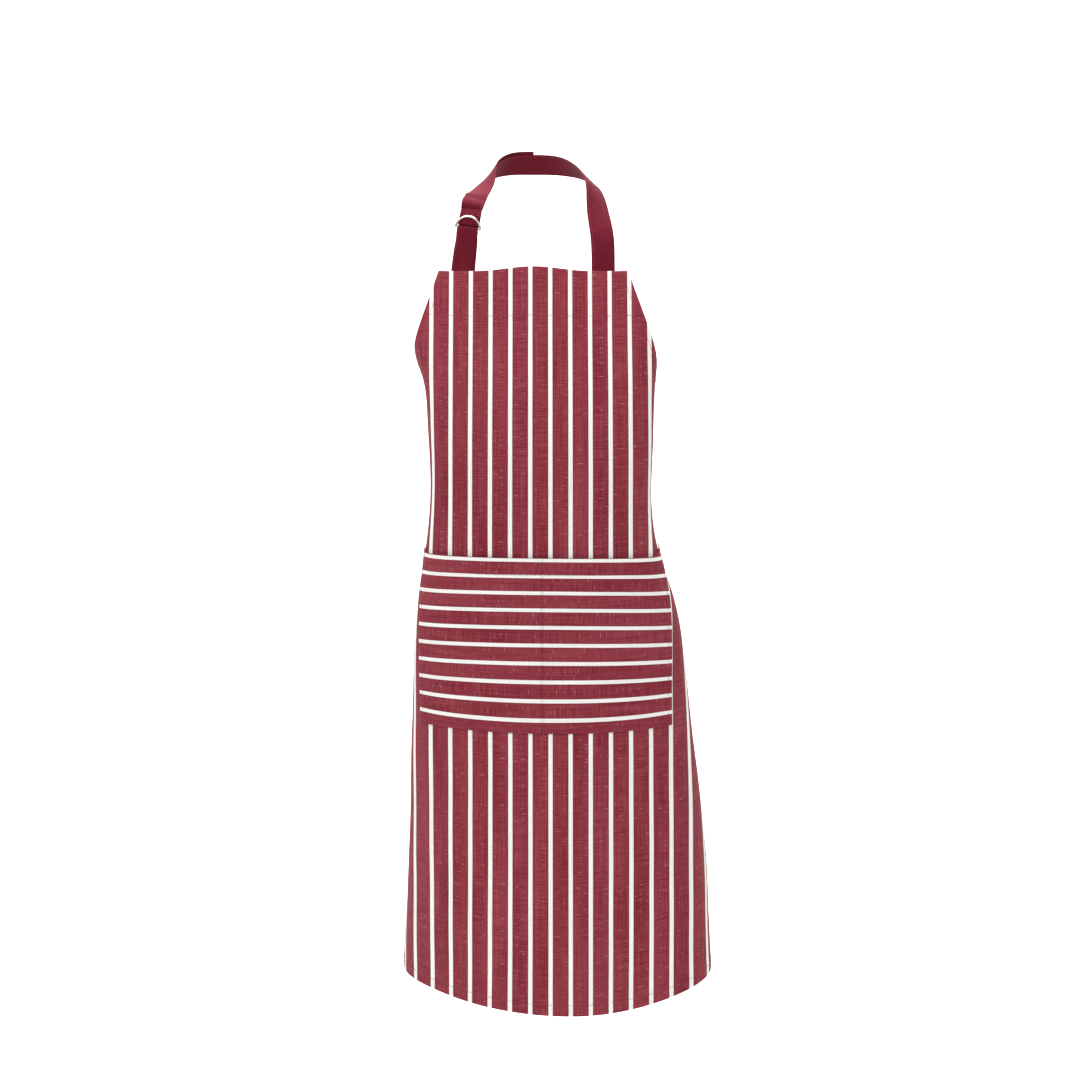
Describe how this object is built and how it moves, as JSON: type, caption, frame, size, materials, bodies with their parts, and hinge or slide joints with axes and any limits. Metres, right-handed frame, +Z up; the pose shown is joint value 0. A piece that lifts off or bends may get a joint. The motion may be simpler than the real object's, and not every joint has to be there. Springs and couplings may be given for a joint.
{
  "type": "butcher apron",
  "caption": "Full-length bib apron of striped cotton, with a cross-striped kangaroo pocket, a neck strap doubled back through D-rings, and waist ties.",
  "frame": {"origin": "middle of the neck strap's inner face, at the back of the neck", "axes": "+Z up, +X towards the wearer's left hand, and the apron's front faces -Y"},
  "size_m": [0.3773, 0.2844, 1.0142],
  "materials": {
    "striped_chambray": "matt burgundy chambray with narrow white stripes down the cloth",
    "pocket_chambray": "the same striped chambray, turned so that its stripes run across",
    "strap_tape": "dark burgundy cotton, folded and stitched along its edges",
    "sewing_thread": "slightly glossy burgundy polyester thread",
    "label_satin": "blank off-white satin",
    "nickel_wire": "polished nickel plating"
  },
  "bodies": {
    "neck": {"neck_strap": "strap_tape", "ring_tab": "strap_tape"},
    "apron": {"body_panel": "striped_chambray", "bib_hem_thread": "sewing_thread", "bottom_hem_thread": "sewing_thread", "armhole_thread_left": "sewing_thread", "armhole_thread_right": "sewing_thread", "side_hem_thread_left": "sewing_thread", "side_hem_thread_right": "sewing_thread", "strap_bartack_left": "sewing_thread", "strap_bartack_right": "sewing_thread", "tie_bartack_left": "sewing_thread", "tie_bartack_right": "sewing_thread", "care_label": "label_satin"},
    "pocket": {"pocket_panel": "pocket_chambray", "pocket_mouth_thread": "sewing_thread", "pocket_seam_thread": "sewing_thread", "pocket_bartack_left": "sewing_thread", "pocket_bartack_right": "sewing_thread"},
    "ring_front": {"d_ring_front": "nickel_wire"},
    "ring_back": {"d_ring_back": "nickel_wire"},
    "tie_left": {"waist_tie_left": "strap_tape"},
    "tie_right": {"waist_tie_right": "strap_tape"}
  },
  "joints": [
    {"name": "bib_fold", "type": "hinge", "parent": "neck", "child": "apron", "pos_m": [0, -0.11071, -0.118], "axis": [-1, 0, 0], "range_deg": [0, 80]},
    {"name": "pocket_mouth", "type": "hinge", "parent": "apron", "child": "pocket", "pos_m": [-0.00009, -0.18889, -0.65482], "axis": [1, 0, 0], "range_deg": [0, 12]},
    {"name": "front_ring_pivot", "type": "hinge", "parent": "neck", "child": "ring_front", "pos_m": [-0.07726, -0.09816, -0.06921], "axis": [0.9712, -0.2, -0.1295], "range_deg": [0, 75]},
    {"name": "back_ring_pivot", "type": "hinge", "parent": "neck", "child": "ring_back", "pos_m": [-0.07673, -0.09509, -0.06994], "axis": [0.9712, -0.2, -0.1295], "range_deg": [-1.5, 1.5]},
    {"name": "left_tie_swing", "type": "hinge", "parent": "apron", "child": "tie_left", "pos_m": [-0.01153, 0.06387, -0.41288], "axis": [0.8094, 0.5779, -0.1044], "range_deg": [0, 120]},
    {"name": "right_tie_swing", "type": "hinge", "parent": "apron", "child": "tie_right", "pos_m": [0.03761, 0.04345, -0.41266], "axis": [0.7653, -0.6059, 0.2173], "range_deg": [0, 120]}
  ]
}
